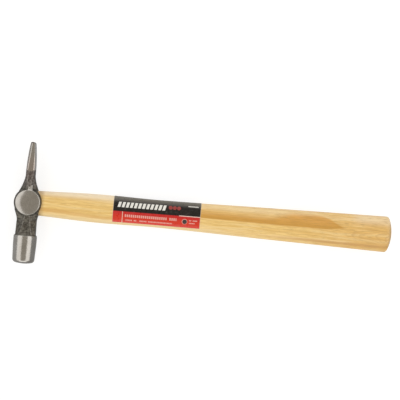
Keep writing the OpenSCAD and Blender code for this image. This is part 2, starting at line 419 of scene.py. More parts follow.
def head_surface():
    """Points, outward normals and quads of the head's surface."""
    pad = 1.2
    lows = np.array([-BOSS_R, FACE_Y, -HALF_Z]) - pad
    highs = np.array([BOSS_R, TIP_Y, HALF_Z]) + pad
    axes = [np.arange(a, b, HEAD_VOXEL) for a, b in zip(lows, highs)]
    gx, gy, gz = np.meshgrid(*axes, indexing="ij", sparse=True)
    values = head_field(gx, gy, gz).astype(np.float32)
    limit = 4 * HEAD_VOXEL
    grid = openvdb.FloatGrid(limit)
    grid.copyFromArray(np.clip(values, -limit, limit))
    points, quads = grid.convertToQuads(0.0)
    p = points.astype(float) * HEAD_VOXEL + lows

    # Pull the points onto the exact surface
    for _ in range(3):
        g = gradient(head_field, p)
        p -= g * (head_field(*p.T) / np.maximum((g * g).sum(1), 0.25))[:, None]
    normal = gradient(head_field, p)
    normal /= np.linalg.norm(normal, axis=1)[:, None]

    a, b, c, d = (p[quads[:, i]] for i in range(4))
    if (np.cross(c - a, d - b) * normal[quads].mean(1)).sum() < 0:
        quads = quads[:, ::-1]
    return p, normal, quads


def make_head():
    """The head, with the unevenness of its forged skin in the mesh."""
    p, normal, quads = head_surface()
    ground = ground_mask(p)
    worn = worn_mask(p)
    skin = 0.05 * lattice_noise(*p.T, cell=2.6, seed=3)
    skin += 0.025 * lattice_noise(*p.T, cell=0.9, seed=4)
    p += normal * ((skin - SKIN_SINK) * (1 - ground) - HEAD_INSET)[:, None]
    head = new_object("hammer_head", (p + np.array([0, 0, MID_Z])) * MM, quads)
    add_values(head, "ground", ground)
    add_values(head, "worn", worn)
    return head


# ---------------------------------------------------------------------- handle
class Handle:
    """Outline of the handle, read from the CAD solid and made smooth."""

    def __init__(self):
        co = np.array([v.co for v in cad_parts["handle"].data.vertices]) / MM
        self.end = handle_high.x / MM
        xs = np.unique(np.round(co[:, 0], 2))
        xs = [x for x in xs if READ_START < x < self.end - READ_STOP]
        rows = [(x, co[np.abs(co[:, 0] - x) < RING_SPREAD]) for x in xs]
        rows = [(x, r) for x, r in rows if len(r) > FULL_RING]
        self.x = np.array([x for x, _ in rows])
        self.half_y = np.array([r[:, 1].max() for _, r in rows])
        self.half_z = np.array([r[:, 2].max() - MID_Z for _, r in rows])

    def curve(self, table, x):
        """Smooth curve through the CAD's rings (Catmull-Rom)."""
        slopes = np.gradient(table, self.x)
        i = np.clip(np.searchsorted(self.x, x) - 1, 0, len(self.x) - 2)
        w = self.x[i + 1] - self.x[i]
        t = (x - self.x[i]) / w
        rise = t * t * (3 - 2 * t)
        return (table[i] * (1 - rise) + table[i + 1] * rise
                + w * slopes[i] * t * (1 - t) ** 2 - w * slopes[i + 1] * t * t * (1 - t))

    def section(self, x, angle, lift=0.0):
        """Point (y, z) of the oval at x; angle 0 is +Y, and a quarter turn is +Z."""
        power = 2 / HANDLE_POWER
        c, s = np.cos(angle), np.sin(angle)
        y = (self.curve(self.half_y, x) + lift) * np.sign(c) * np.abs(c) ** power
        z = (self.curve(self.half_z, x) + lift) * np.sign(s) * np.abs(s) ** power
        return y, z


handle_shape = Handle()


def head_side(y, z):
    """Highest x at which (y, z) is still inside the head, or 6 if it never is."""
    x = np.linspace(3.0, 14.0, 221)
    inside = head_outer(x[:, None], y[None, :], z[None, :]) < 0
    last = inside.shape[0] - 1 - np.argmax(inside[::-1], axis=0)
    return np.where(inside.any(axis=0), x[last], 6.0)


def even_angles(n):
    """Angles that space the points of the oval evenly."""
    fine = np.linspace(0, 2 * math.pi, 2881)
    y, z = handle_shape.section(np.full_like(fine, 60.0), fine)
    run = np.concatenate([[0], np.cumsum(np.hypot(np.diff(y), np.diff(z)))])
    return np.interp(np.arange(n) * run[-1] / n, run, fine)


def eye_ring(x, eye_angle, scale=1.0):
    """Ring of the tenon at x, an oval that follows the eye."""
    half = eye_half_width(np.array(float(x))) - TENON_PLAY
    y = half * np.cos(eye_angle) + EYE_CENTRE_Y * np.tanh(4 * np.cos(eye_angle))
    z = half * np.sin(eye_angle)
    return y * scale, z * scale


def tenon_end_x(y):
    """Where the tenon ends at y, just inside the head's round side."""
    return TENON_END_R - TENON_END - np.sqrt(TENON_END_R ** 2 - y ** 2)


def tenon_rings(eye_angle):
    rings = []
    for scale in (0.12, 0.35, 0.6, 0.8, 0.93, 0.99):
        y, z = eye_ring(-10, eye_angle, scale)
        rings.append((tenon_end_x(y), y, z))
    for x in (-9.5, -8.5, -7, -5, -2.5, 0, 2, 4):
        y, z = eye_ring(x, eye_angle)
        rings.append((np.maximum(float(x), tenon_end_x(y) + 0.35), y, z))
    return rings


def shoulder_rings(eye_angle, angles):
    """The shoulder, which fits the head's surface and has an eased edge."""
    full_y, full_z = handle_shape.section(np.full(HANDLE_POINTS, SHOULDER_X), angles)
    full_y, full_z = full_y * SHOULDER_SHARE, full_z * SHOULDER_SHARE
    root_y, root_z = eye_ring(6, eye_angle)
    rings = []
    for share in (0.05, 0.3, 0.6, 0.85, 0.96):
        y = root_y + (full_y - root_y) * share
        z = root_z + (full_z - root_z) * share
        rings.append((head_side(y, z) + SHOULDER_PLAY, y, z))
    start = head_side(full_y, full_z) + SHOULDER_PLAY
    for x in (0.25, 0.7, 1.4, 2.6):
        eased = 1 - 0.03 * max(0.0, 1 - x / 1.2) ** 2
        rings.append((start + x, full_y * eased, full_z * eased))
    return rings


def butt_rings(angles, shank_end):
    """The domed butt, with its eased edge."""
    edge_y, edge_z = handle_shape.section(np.full(HANDLE_POINTS, shank_end), angles)
    rings = []
    for f in (1.0, 0.992, 0.975, 0.95, 0.9, 0.82, 0.7, 0.55, 0.4, 0.25, 0.1):
        across = np.abs(f * edge_y).max()
        x = handle_shape.end - BUTT_DOME_R + math.sqrt(BUTT_DOME_R ** 2 - across ** 2)
        roll = max(0.0, (f - 0.88) / 0.12)
        x -= BUTT_EDGE_R * (1 - math.sqrt(1 - min(1.0, roll) ** 2))
        rings.append((np.full(HANDLE_POINTS, x), edge_y * f, edge_z * f))
    return rings


def make_handle():
    """Tenon, shoulder, shank and butt as one tube of rings."""
    angles = even_angles(HANDLE_POINTS)
    side_y, side_z = handle_shape.section(np.full(HANDLE_POINTS, 20.0), angles)
    eye_angle = np.arctan2(side_z, side_y)
    shank_end = handle_shape.end - SHANK_STOP
    rings = tenon_rings(eye_angle) + shoulder_rings(eye_angle, angles)
    for x in np.linspace(SHANK_START, shank_end, SHANK_RINGS):
        ring_x = np.full(HANDLE_POINTS, x)
        rings.append((ring_x, *handle_shape.section(ring_x, angles)))
    rings += butt_rings(angles, shank_end)
    verts = np.concatenate([np.stack([x, y, z + MID_Z], 1) for x, y, z in rings]) * MM
    return new_object("ash_handle", verts, capped_tube_faces(len(rings), HANDLE_POINTS))


# ----------------------------------------------------------------------- label
def arc_lengths(x, angles):
    """Distance round the handle at x, from its top line."""
    y, z = handle_shape.section(np.full_like(angles, x), angles)
    run = np.concatenate([[0], np.cumsum(np.hypot(np.diff(y), np.diff(z)))])
    return run - np.interp(math.pi / 2, angles, run)


def label_angles(x, arc):
    """Angle on the oval that lies arc millimetres round the handle at x."""
    fine = np.linspace(-math.pi, math.pi, 1441)
    stations = np.linspace(x[0, 0] - 1, x[-1, 0] + 1, 60)
    table = np.array([arc_lengths(s, fine) for s in stations])
    angle = np.empty_like(arc)
    for i in range(len(x)):
        here = [np.interp(x[i].mean(), stations, column) for column in table[:, ::8].T]
        angle[i] = np.interp(arc[i], here, fine[::8])
    return angle


def band_faces(nu, nv):
    """Faces of a thin band: two layers of nu by nv points, closed by a rim."""
    count = nu * nv
    faces = []
    for i in range(nu - 1):
        for j in range(nv - 1):
            a = i * nv + j
            faces.append((count + a, count + a + 1, count + a + nv + 1, count + a + nv))
            faces.append((a, a + nv, a + nv + 1, a + 1))
    rim = [i * nv for i in range(nu)] + [(nu - 1) * nv + j for j in range(1, nv)]
    rim += [i * nv + nv - 1 for i in range(nu - 2, -1, -1)] + list(range(nv - 2, 0, -1))
    for a, b in zip(rim, rim[1:] + rim[:1]):
        faces.append((b, a, count + a, count + b))
    return faces


def make_label():
    """A thin printed band round the handle; v runs round it, 0 at the pein side."""
    x0 = label_low.x / MM
    length = label_high.x / MM - x0
    nu, nv = LABEL_GRID
    u = np.linspace(0, length, nu)
    v = np.linspace(-LABEL_HALF, LABEL_HALF, nv)
    uu, vv = np.meshgrid(u, v, indexing="ij")
    x = x0 + uu
    arc = vv - LABEL_SPLIT + SPLIT_OFF_TOP - (uu - length / 2) * LABEL_TURN
    angle = label_angles(x, arc)

    layers = []
    for lift in LABEL_LAYERS:
        y, z = handle_shape.section(x.ravel(), angle.ravel(), lift)
        layers.append(np.stack([x.ravel(), y, z + MID_Z], 1))
    label = new_object("printed_label", np.concatenate(layers) * MM, band_faces(nu, nv))
    layer = label.data.uv_layers.new(name="print")
    across = np.tile(np.stack([uu.ravel(), vv.ravel()], 1), (2, 1))
    loops = np.empty(len(label.data.loops), dtype=int)
    label.data.loops.foreach_get("vertex_index", loops)
    layer.data.foreach_set("uv", (across[loops] / PRINT_SCALE).astype(np.float32).ravel())
    label.data.set_sharp_from_angle(angle=math.radians(50))
    return label


# --------------------------------------------------------- room for the wedges
def drop_slivers(data):
    """Merges corners that the cuts have left less than 4 microns apart."""
    mesh = bmesh.new()
    mesh.from_mesh(data)
    bmesh.ops.triangulate(mesh, faces=[f for f in mesh.faces if len(f.verts) > 4])
    bmesh.ops.dissolve_degenerate(mesh, dist=4e-6, edges=mesh.edges)
    bmesh.ops.triangulate(mesh, faces=[f for f in mesh.faces if len(f.verts) > 4])
    mesh.to_mesh(data)
    mesh.free()


def cut_by_wedges(handle):
    """Cuts the wedges' room from the tenon, with a hair's breadth to spare."""
    for node in ("wooden_wedge", "steel_wedge"):
        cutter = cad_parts[node].copy()
        cutter.data = cutter.data.copy()
        cutter.parent = None
        bpy.context.scene.collection.objects.link(cutter)
        mesh = bmesh.new()
        mesh.from_mesh(cutter.data)
        bmesh.ops.remove_doubles(mesh, verts=mesh.verts, dist=1e-6)
        mesh.normal_update()
        for v in mesh.verts:
            v.co += v.normal * WEDGE_PLAY * MM
        mesh.to_mesh(cutter.data)
        mesh.free()
        modifier = handle.modifiers.new("cut", "BOOLEAN")
        modifier.operation = "DIFFERENCE"
        modifier.solver = "EXACT"
        modifier.object = cutter
        bpy.context.view_layer.update()
        graph = bpy.context.evaluated_depsgraph_get()
        result = bpy.data.meshes.new_from_object(handle.evaluated_get(graph))
        handle.modifiers.clear()
        handle.data = result
        bpy.data.objects.remove(cutter)
    drop_slivers(handle.data)


# ------------------------------------------------------------- material helper
class Graph:
    """Short-hand for the nodes of one Principled material."""

    def __init__(self, name):
        self.material = bpy.data.materials.new(name)
        self.material.use_nodes = True
        self.nodes = self.material.node_tree.nodes
        self.links = self.material.node_tree.links
        self.nodes.clear()
        self.shader = self.nodes.new("ShaderNodeBsdfPrincipled")
        output = self.nodes.new("ShaderNodeOutputMaterial")
        self.links.new(self.shader.outputs[0], output.inputs[0])

    def put(self, socket, value):
        if isinstance(value, bpy.types.NodeSocket):
            self.links.new(value, socket)
        elif isinstance(value, tuple) and len(value) == 3 and len(socket.default_value) == 4:
            socket.default_value = (*value, 1.0)
        else:
            socket.default_value = value

    def set(self, **values):
        """Sets inputs of the shader; an underscore stands for a space."""
        for name, value in values.items():
            self.put(self.shader.inputs[name.replace("_", " ")], value)

    def math(self, operation, a, b=0.0):
        node = self.nodes.new("ShaderNodeMath")
        node.operation = operation
        self.put(node.inputs[0], a)
        self.put(node.inputs[1], b)
        return node.outputs[0]

    def times(self, a, b):
        return self.math("MULTIPLY", a, b)

    def plus(self, a, b):
        return self.math("ADD", a, b)

    def minus(self, a, b):
        return self.math("SUBTRACT", a, b)

    def ramp(self, value, low, high, out_low=0.0, out_high=1.0):
        """Eases from out_low to out_high as value goes from low to high."""
        node = self.nodes.new("ShaderNodeMapRange")
        node.interpolation_type = "SMOOTHSTEP"
        for i, v in enumerate((value, low, high, out_low, out_high)):
            self.put(node.inputs[i], v)
        return node.outputs[0]

    def mix(self, factor, a, b):
        """Colour a where factor is 0 and colour b where it is 1."""
        node = self.nodes.new("ShaderNodeMix")
        node.data_type = "RGBA"
        self.put(node.inputs[0], factor)
        self.put(node.inputs[6], a)
        self.put(node.inputs[7], b)
        return node.outputs[2]

    def object_mm(self):
        """Object coordinates in millimetres."""
        node = self.nodes.new("ShaderNodeTexCoord")
        return self.scale(node.outputs["Object"], (1000, 1000, 1000))

    def scale(self, vector, factors, offset=(0, 0, 0)):
        node = self.nodes.new("ShaderNodeVectorMath")
        node.operation = "MULTIPLY_ADD"
        self.put(node.inputs[0], vector)
        self.put(node.inputs[1], factors)
        self.put(node.inputs[2], offset)
        return node.outputs[0]

    def split(self, vector):
        node = self.nodes.new("ShaderNodeSeparateXYZ")
        self.put(node.inputs[0], vector)
        return node.outputs[0], node.outputs[1], node.outputs[2]

    def join(self, x, y, z):
        node = self.nodes.new("ShaderNodeCombineXYZ")
        for i, v in enumerate((x, y, z)):
            self.put(node.inputs[i], v)
        return node.outputs[0]

    def noise(self, vector, detail=3.0, roughness=0.5):
        node = self.nodes.new("ShaderNodeTexNoise")
        self.put(node.inputs["Vector"], vector)
        self.put(node.inputs["Scale"], 1.0)
        self.put(node.inputs["Detail"], detail)
        self.put(node.inputs["Roughness"], roughness)
        return node.outputs[0]

    def white(self, value):
        """A random number from 0 to 1 for each value."""
        node = self.nodes.new("ShaderNodeTexWhiteNoise")
        node.noise_dimensions = "1D"
        self.put(node.inputs["W"], value)
        return node.outputs["Value"]

    def geometry(self, name):
        return self.nodes.new("ShaderNodeNewGeometry").outputs[name]

    def attribute(self, name):
        node = self.nodes.new("ShaderNodeAttribute")
        node.attribute_name = name
        return node.outputs["Fac"]

    def bump(self, height, distance_mm, normal=None):
        """Bump from a height of 0 to 1, which stands for distance_mm."""
        node = self.nodes.new("ShaderNodeBump")
        self.put(node.inputs["Distance"], distance_mm * MM)
        self.put(node.inputs["Height"], height)
        if normal is not None:
            self.put(node.inputs["Normal"], normal)
        return node.outputs[0]


# ------------------------------------------------------------------- materials
def grinding_marks(g, x, y, z):
    """Marks of grinding: along the head on the cheeks, across it elsewhere."""
    radius = g.math("SQRT", g.plus(g.times(x, x), g.times(y, y)))
    on_cheek = g.ramp(radius, 11.5, 10.5)
    across = g.noise(g.join(g.times(x, 0.45), g.times(y, 7.0), z), 4)
    along = g.noise(g.join(g.times(x, 7.0), g.times(y, 0.3), z), 4)
    return g.plus(g.times(across, g.minus(1.0, on_cheek)), g.times(along, on_cheek))


def ground_colour(g, p, y, marks):
    """Bright ground steel, a little warmer at the foot of the pein."""
    tone = g.noise(g.scale(p, (0.16, 0.16, 0.16)), 3)
    bright = g.mix(g.ramp(marks, 0.3, 0.7), (0.46, 0.436, 0.402), (0.55, 0.53, 0.50))
    bright = g.mix(g.ramp(tone, 0.35, 0.7), bright, (0.45, 0.425, 0.39))
    warm = g.times(g.ramp(y, 22, 24), g.ramp(y, 40, 30, 0, 0.6))
    return g.mix(warm, bright, (0.51, 0.43, 0.385))


def skin_colour(g, p, y, smudge):
    """Dark forged skin: speckled, rusty in places, rubbed in streaks on the flare."""
    skin = g.mix(g.ramp(smudge, 0.36, 0.64), (0.088, 0.081, 0.068), (0.213, 0.2, 0.171))
    speckle = g.noise(g.scale(p, (1.3, 0.9, 1.3), (6, 1, 9)), 3)
    skin = g.mix(g.ramp(speckle, 0.5, 0.62, 0, 0.4), skin, (0.235, 0.22, 0.19))
    skin = g.mix(g.ramp(speckle, 0.46, 0.36, 0, 0.5), skin, (0.07, 0.064, 0.054))
    rust = g.noise(g.scale(p, (0.35, 0.35, 0.35), (1, 8, 2)), 4)
    skin = g.mix(g.ramp(rust, 0.55, 0.75, 0, 0.45), skin, (0.13, 0.093, 0.06))
    rubs = g.noise(g.scale(p, (2.0, 0.5, 2.0), (4, 4, 0)), 3)
    rubbed = g.mix(g.ramp(rubs, 0.45, 0.56), (0.085, 0.07, 0.064), (0.35, 0.318, 0.3))
    skin = g.mix(g.ramp(y, 10, 14, 0, 0.75), skin, rubbed)
    brown = g.times(g.ramp(y, 15, 22), g.ramp(smudge, 0.4, 0.6, 0.1, 0.6))
    skin = g.mix(brown, skin, (0.12, 0.083, 0.07))

    # Edges and creases are worn lighter
    edge = g.ramp(g.geometry("Pointiness"), 0.515, 0.56)
    skin = g.mix(g.times(edge, 0.35), skin, (0.30, 0.28, 0.25))
    worn = g.times(g.attribute("worn"), g.ramp(speckle, 0.4, 0.55, 0.1, 0.6))
    return g.mix(worn, skin, (0.30, 0.275, 0.25))


def head_steel():
    g = Graph("forged_and_ground_steel")
    p = g.object_mm()
    x, y, z = g.split(p)
    ground = g.attribute("ground")
    left_forged = g.minus(1.0, ground)
    marks = grinding_marks(g, x, y, z)
    smudge = g.noise(g.scale(p, (0.5, 0.5, 0.5), (7, 3, 5)), 5)
    colour = g.mix(ground, skin_colour(g, p, y, smudge), ground_colour(g, p, y, marks))
    g.set(Base_Color=colour, Metallic=1.0)

    ground_rough = g.ramp(marks, 0.25, 0.75, 0.17, 0.25)
    skin_rough = g.ramp(smudge, 0.3, 0.7, 0.36, 0.54)
    rough = g.plus(g.times(ground_rough, ground), g.times(skin_rough, left_forged))
    g.set(Roughness=rough)

    pits = g.noise(g.scale(p, (1.6, 1.6, 1.6)), 5, 0.62)
    normal = g.bump(g.times(pits, left_forged), 0.22)
    normal = g.bump(g.times(marks, ground), 0.003, normal)
    g.set(Normal=normal)
    return g.material


def grain_fields(g, p):
    """Rings, fibre, streaks and pores of a plank whose grain runs along X."""
    x, y, z = g.split(p)
    drift = g.noise(g.scale(p, (0.012, 0.03, 0.03)), 2)
    ry = g.plus(g.plus(y, 58.0), g.times(g.minus(drift, 0.5), 9.0))
    rz = g.plus(z, 30.0)
    radius = g.math("SQRT", g.plus(g.times(ry, ry), g.times(rz, rz)))
    radius = g.plus(radius, g.times(x, 0.028))
    rings = g.math("FRACT", g.math("DIVIDE", radius, 2.3))
    fibre = g.noise(g.scale(p, (0.1, 1.6, 1.6)), 5, 0.6)
    streak = g.noise(g.scale(p, (0.022, 0.42, 0.42), (3, 0, 9)), 4)
    pores = g.noise(g.scale(p, (0.17, 2.3, 2.3), (11, 5, 0)), 3)
    return rings, fibre, streak, pores


def lay_body(g, x, early, fibre, streak):
    """Colour of plain wood: yellow at the head end, browner towards the butt."""
    light = g.mix(g.ramp(x, 180, 262), (0.96, 0.68, 0.26), (0.89, 0.575, 0.20))
    dark = g.mix(g.ramp(x, 180, 262), (0.83, 0.54, 0.17), (0.73, 0.43, 0.12))
    colour = g.mix(g.ramp(fibre, 0.4, 0.62), light, dark)
    colour = g.mix(g.times(early, 0.35), colour, (0.74, 0.45, 0.13))
    colour = g.mix(g.ramp(streak, 0.52, 0.62, 0, 0.55), colour, (0.95, 0.71, 0.34))
    return g.mix(g.ramp(streak, 0.47, 0.36, 0, 0.45), colour, (0.78, 0.47, 0.13))


def lay_edges(g, x, y, colour):
    """Painted shade low on the butt, and a painted highlight of pale colour along both edges.
    """
    shade = g.times(g.ramp(y, 0, -10), g.ramp(x, 235, 275))
    colour = g.mix(g.times(shade, 0.45), colour, (0.70, 0.42, 0.13))
    # painted highlight: pale colour along the upper edge
    upper = g.times(g.ramp(y, 4.0, 9.0), g.ramp(x, 70, 140, 0.95, 0.3))
    fade = g.plus(g.ramp(x, 210, 235, 1.0, 0.2), g.ramp(x, 243, 256, 0, 1.2))
    colour = g.mix(g.times(upper, fade), colour, (0.945, 0.79, 0.56))
    # painted highlight: pale colour along the lower edge, near the head
    lower = g.times(g.ramp(y, -6.0, -10.5), g.ramp(x, 120, 185, 0.75, 0.0))
    return g.mix(lower, colour, (0.90, 0.70, 0.38))


def line_mask(g, y, line, half_width):
    """1 on a soft line along the grain, where line gives its y."""
    away = g.math("ABSOLUTE", g.minus(y, line))
    return g.ramp(away, half_width, half_width * 0.25)


def lay_lines(g, x, y, wander, colour):
    """A tan streak near the head, and a brown one along the edge near the butt."""
    line = g.plus(g.ramp(x, 10, 62, -4.4, -7.0), g.times(wander, 2.5))
    tan = g.times(line_mask(g, y, line, 2.0), g.ramp(x, 95, 62))
    colour = g.mix(g.times(tan, 0.55), colour, (0.75, 0.43, 0.13))
    line = g.plus(g.ramp(x, 205, 278, -9.7, -10.3), wander)
    brown = g.times(line_mask(g, y, line, 1.7), g.ramp(x, 160, 225))
    return g.mix(g.times(brown, 0.8), colour, (0.60, 0.315, 0.07))


def lay_heartwood(g, x, y, fibre, wander, colour):
    """A browner tongue that starts under the label and ends short of the butt."""
    low = g.plus(g.ramp(x, 224, 246, 0.1, 2.1), g.times(wander, 0.9))
    droop = g.times(g.math("POWER", g.ramp(x, 215, 245), 2.2), 7.6)
    high = g.minus(g.ramp(x, 184, 205, 5.4, 9.4), droop)
    high = g.plus(high, g.times(wander, 1.6))
    height = g.minus(y, low)
    softness = g.ramp(x, 190, 226, 3.4, 0.8)
    rise = g.ramp(height, -0.45, 0.35)
    fall = g.ramp(g.math("DIVIDE", g.minus(high, y), softness), -0.8, 1.0)
    length = g.times(g.ramp(x, 95, 130), g.ramp(x, 247, 244))
    inside = g.times(g.times(rise, fall), length)
    heart = g.mix(g.ramp(height, 0.5, 6.0), (0.67, 0.345, 0.06), (0.78, 0.40, 0.088))
    heart = g.mix(g.ramp(fibre, 0.4, 0.62, 0, 0.6), heart, (0.59, 0.30, 0.05))
    return g.mix(g.times(inside, 0.95), colour, heart)


def lay_arches(g, x, y, wander, colour):
    """Cathedral grain, which opens towards the butt."""
    across = g.plus(y, 2.0)
    arch = g.minus(g.minus(x, 242.0), g.times(g.times(across, across), 0.5))
    arch = g.plus(arch, g.times(wander, 26.0))
    band = g.math("FRACT", g.math("DIVIDE", arch, 7.5))
    band = g.times(g.ramp(band, 0.0, 0.15), g.ramp(band, 0.6, 0.2))
    band = g.times(band, g.times(g.ramp(arch, 0.0, 8.0), g.ramp(y, 6, 1)))
    return g.mix(g.times(band, 0.4), colour, (0.66, 0.37, 0.12))


def end_grain(g, p, early):
    """Colour of the wood that is cut across, on the butt and the tenon's end."""
    dots = g.noise(g.scale(p, (0.5, 7.0, 7.0)), 2)
    grain = g.mix(early, (0.66, 0.41, 0.14), (0.42, 0.235, 0.07))
    return g.mix(g.ramp(dots, 0.55, 0.68, 0, 0.6), grain, (0.25, 0.13, 0.04))


def ash_wood():
    g = Graph("oiled_ash")
    x, y, z = g.split(g.object_mm())
    y = g.plus(y, g.times(g.minus(z, 17.0), 0.2))
    p = g.join(x, y, z)
    rings, fibre, streak, pores = grain_fields(g, p)
    early = g.times(g.ramp(rings, 0.0, 0.12), g.ramp(rings, 0.55, 0.16))
    wander = g.minus(g.noise(g.scale(p, (0.045, 0.1, 0.1), (5, 5, 5)), 4), 0.5)

    colour = lay_body(g, x, early, fibre, streak)
    colour = lay_edges(g, x, y, colour)
    colour = lay_lines(g, x, y, wander, colour)
    colour = lay_heartwood(g, x, y, fibre, wander, colour)
    colour = lay_arches(g, x, y, wander, colour)

    # Pores, and painted shade on the wood against the head
    pore = g.times(g.ramp(pores, 0.57, 0.68), g.ramp(x, 150, 200, 0.4, 0.8))
    colour = g.mix(g.times(pore, 0.6), colour, (0.50, 0.29, 0.10))
    # painted shade: the wood darkens within 4 mm of the head, standing in for the head's
    # shadow
    colour = g.mix(g.ramp(x, 13.5, 9.5, 0, 0.55), colour, (0.42, 0.25, 0.09))

    facing_x = g.math("ABSOLUTE", g.split(g.geometry("Normal"))[0])
    colour = g.mix(g.ramp(facing_x, 0.8, 0.97), colour, end_grain(g, p, early))
    g.set(Base_Color=colour)

    sheen = g.noise(g.scale(p, (0.1, 0.6, 0.6), (2, 2, 2)), 3)
    g.set(Roughness=g.ramp(sheen, 0.3, 0.7, 0.36, 0.5))
    g.set(Coat_Weight=0.25, Coat_Roughness=0.22)
    g.set(Normal=g.bump(g.minus(g.times(fibre, 0.5), pore), 0.03))
    return g.material


def wedge_wood():
    g = Graph("hardwood_wedge")
    p = g.object_mm()
    fibre = g.noise(g.scale(p, (0.25, 4.0, 4.0)), 5, 0.6)
    band = g.noise(g.scale(p, (0.05, 0.7, 0.7), (4, 1, 1)), 2)
    colour = g.mix(g.ramp(fibre, 0.3, 0.7), (0.47, 0.27, 0.12), (0.33, 0.17, 0.065))
    colour = g.mix(g.ramp(band, 0.5, 0.7, 0, 0.6), colour, (0.26, 0.125, 0.045))
    g.set(Base_Color=colour, Roughness=g.ramp(fibre, 0.3, 0.7, 0.5, 0.68))
    g.set(Normal=g.bump(fibre, 0.05))
    return g.material


def wedge_steel():
    g = Graph("mild_steel_wedge")
    p = g.object_mm()
    marks = g.noise(g.scale(p, (0.7, 9.0, 0.7)), 4)
    stain = g.noise(g.scale(p, (0.6, 0.6, 0.6)), 5, 0.6)
    colour = g.mix(g.ramp(marks, 0.3, 0.7), (0.40, 0.39, 0.37), (0.52, 0.51, 0.49))
    colour = g.mix(g.ramp(stain, 0.5, 0.72, 0, 0.7), colour, (0.2, 0.15, 0.11))
    g.set(Base_Color=colour, Metallic=1.0, Roughness=g.ramp(stain, 0.3, 0.7, 0.32, 0.55))
    g.set(Normal=g.bump(marks, 0.02))
    return g.material


class Print:
    """Flat colours laid over one another on the label, in millimetres."""

    def __init__(self, g, u, v, colour):
        self.g, self.u, self.v, self.colour = g, u, v, colour

    def box(self, u0, u1, v0, v1, slant=0.0):
        """1 from u0 to u1 and from v0 to v1; its ends may lean."""
        g = self.g
        u = self.u
        if slant:
            u = g.plus(u, g.times(g.minus(self.v, (v0 + v1) / 2), slant))
        sides = g.math("MINIMUM", g.minus(u, u0), g.minus(u1, u))
        ends = g.math("MINIMUM", g.minus(self.v, v0), g.minus(v1, self.v))
        return g.ramp(g.math("MINIMUM", sides, ends), -INK_EDGE, INK_EDGE)

    def disc(self, u, v, radius):
        g = self.g
        du = g.minus(self.u, u)
        dv = g.minus(self.v, v)
        reach = g.math("SQRT", g.plus(g.times(du, du), g.times(dv, dv)))
        return g.ramp(reach, radius + INK_EDGE, radius - INK_EDGE)

    def blocks(self, pitch, fill, slant, keep, seed):
        """A row of plain blocks; the share keep of them is left in, at random."""
        g = self.g
        place = g.plus(self.u, g.times(self.v, slant))
        place = g.math("DIVIDE", place, pitch)
        cell = g.plus(g.math("FLOOR", place), seed)
        on = g.math("LESS_THAN", g.math("FRACT", place), fill)
        return g.times(on, g.math("LESS_THAN", g.white(cell), keep))

    def lay(self, mask, colour):
        self.colour = self.g.mix(mask, self.colour, colour)

    def lay_row(self, box, blocks, colour):
        """Lays blocks in one colour, as far as the box reaches."""
        self.lay(self.g.times(self.box(*box), self.blocks(*blocks)), colour)


def lay_black_band(ink):
    """Plain slanted blocks, three dots, a short bar and a line under the end."""
    white, dull_red = (0.86, 0.85, 0.80), (0.34, 0.055, 0.05)
    ink.lay_row((3.1, 40.4, 7.6, 11.7, 0.25), (3.1, 0.68, 0.25, 1.1, 0), white)
    for i in range(3):
        ink.lay(ink.disc(43.6 + 3.2 * i, 9.1, 1.5), dull_red)
    ink.lay(ink.box(57.0, 64.8, 6.5, 7.4), (0.62, 0.60, 0.56))
    ink.lay(ink.box(50.5, 67.0, LABEL_SPLIT - 0.35, LABEL_SPLIT + 0.2), (0.85, 0.62, 0.55))


def lay_red_band(ink):
    """An upright line, two long rows of blocks, a ringed dot and two short rows."""
    pink = (0.82, 0.42, 0.36)
    ink.lay(ink.box(7.3, 7.75, LABEL_SPLIT, 24.0), (0.85, 0.62, 0.5))
    ink.lay_row((9.4, 48.8, 16.85, 18.85), (1.55, 0.66, 0.0, 0.86, 10), pink)
    ink.lay_row((10.2, 45.6, 20.7, 21.7), (1.1, 0.7, 0.0, 0.8, 60), pink)
    ink.lay(ink.disc(55.0, 18.8, 2.1), (0.78, 0.34, 0.28))
    ink.lay(ink.disc(55.1, 18.9, 1.7), (0.06, 0.05, 0.045))
    ink.lay_row((58.4, 64.8, 17.3, 18.2), (0.9, 0.75, 0.0, 0.9, 90), pink)
    ink.lay_row((58.4, 64.8, 19.35, 20.25), (0.9, 0.75, 0.0, 0.9, 120), pink)


def label_print():
    g = Graph("printed_film")
    uv = g.nodes.new("ShaderNodeUVMap")
    uv.uv_map = "print"
    place = g.scale(uv.outputs[0], (PRINT_SCALE, PRINT_SCALE, 0))
    u, v, _ = g.split(place)

    # Black on the pein side, with a painted reflection that pales it to grey where it turns
    # over; red on either side of it
    painted_grazing_sheen = g.ramp(g.math("ABSOLUTE", v), 3.5, 8.5)
    ink = Print(g, u, v, g.mix(painted_grazing_sheen, (0.17, 0.155, 0.13), (0.014, 0.011, 0.009)))
    deeper = g.ramp(v, LABEL_SPLIT, LABEL_SPLIT + 5)
    reds = g.mix(deeper, (0.58, 0.022, 0.022), (0.70, 0.042, 0.018))
    ink.lay(g.ramp(v, LABEL_SPLIT - INK_EDGE, LABEL_SPLIT + INK_EDGE), reds)
    ink.lay(g.ramp(v, -LABEL_SPLIT + INK_EDGE, -LABEL_SPLIT - INK_EDGE), reds)
    lay_black_band(ink)
    lay_red_band(ink)

    # Pale cut edge of the paper
    length = (label_high.x - label_low.x) / MM
    side, end = length - CUT_EDGE, LABEL_HALF - CUT_EDGE
    inner = ink.box(CUT_EDGE, side, -end, end)
    ink.lay(g.minus(1.0, inner), (0.70, 0.62, 0.55))

    wear = g.noise(g.scale(place, (0.35, 0.35, 0)), 5, 0.6)
    colour = g.mix(g.ramp(wear, 0.55, 0.8, 0, 0.12), ink.colour, (0.6, 0.55, 0.5))
    g.set(Base_Color=colour, Roughness=g.ramp(wear, 0.3, 0.7, 0.24, 0.38))
    g.set(Specular_IOR_Level=0.4)
    ripple = g.noise(g.scale(place, (0.09, 0.16, 0), (3, 1, 0)), 2)
    g.set(Normal=g.bump(g.plus(ripple, g.times(wear, 0.05)), 0.12))
    return g.material


